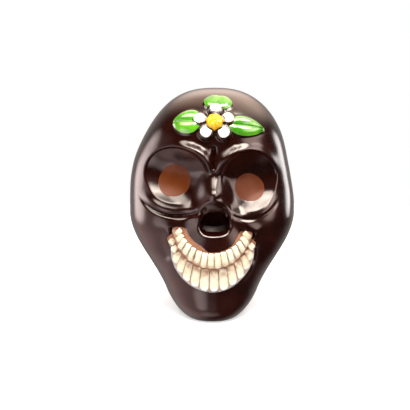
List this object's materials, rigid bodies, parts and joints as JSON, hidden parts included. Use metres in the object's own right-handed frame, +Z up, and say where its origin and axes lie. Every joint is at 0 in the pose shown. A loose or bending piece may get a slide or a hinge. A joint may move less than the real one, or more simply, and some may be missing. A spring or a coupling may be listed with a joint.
{
  "type": "decorated chocolate skull",
  "caption": "Hollow moulded skull of two joined half shells, with inlaid round eyes, a wide grin of set teeth and a five-petal flower with leaves on the forehead.",
  "frame": {"origin": "middle of the bounding box, on the plane of the flat underside", "axes": "+Z up from the underside to the crown, the face looks along -Y, +X to the right as seen from the front"},
  "size_m": [0.106, 0.1158, 0.144],
  "materials": {
    "dark_chocolate": "tempered dark chocolate, glossy",
    "milk_chocolate": "milk chocolate, glossy",
    "gum_chocolate": "light milk chocolate, satin",
    "white_chocolate": "white chocolate, satin",
    "petal_white": "white cocoa butter, satin",
    "flower_yellow": "yellow cocoa butter, glossy",
    "leaf_green": "green cocoa butter, glossy"
  },
  "bodies": {
    "root": {"face_half": "dark_chocolate", "back_half": "dark_chocolate", "seam_bead": "dark_chocolate", "eye_left": "milk_chocolate", "eye_right": "milk_chocolate", "upper_gum": "gum_chocolate", "lower_gum": "gum_chocolate", "upper_tooth_01": "white_chocolate", "upper_tooth_02": "white_chocolate", "upper_tooth_03": "white_chocolate", "upper_tooth_04": "white_chocolate", "upper_tooth_05": "white_chocolate", "upper_tooth_06": "white_chocolate", "upper_tooth_07": "white_chocolate", "upper_tooth_08": "white_chocolate", "upper_tooth_09": "white_chocolate", "upper_tooth_10": "white_chocolate", "upper_tooth_11": "white_chocolate", "upper_tooth_12": "white_chocolate", "upper_tooth_13": "white_chocolate", "upper_tooth_14": "white_chocolate", "upper_tooth_15": "white_chocolate", "lower_tooth_01": "white_chocolate", "lower_tooth_02": "white_chocolate", "lower_tooth_03": "white_chocolate", "lower_tooth_04": "white_chocolate", "lower_tooth_05": "white_chocolate", "lower_tooth_06": "white_chocolate", "lower_tooth_07": "white_chocolate", "lower_tooth_08": "white_chocolate", "lower_tooth_09": "white_chocolate", "lower_tooth_10": "white_chocolate", "lower_tooth_11": "white_chocolate", "lower_tooth_12": "white_chocolate", "lower_tooth_13": "white_chocolate", "lower_tooth_14": "white_chocolate", "petal_1": "petal_white", "petal_2": "petal_white", "petal_3": "petal_white", "petal_4": "petal_white", "petal_5": "petal_white", "flower_centre": "flower_yellow", "leaf_left": "leaf_green", "leaf_top": "leaf_green", "leaf_right": "leaf_green"}
  },
  "joints": []
}
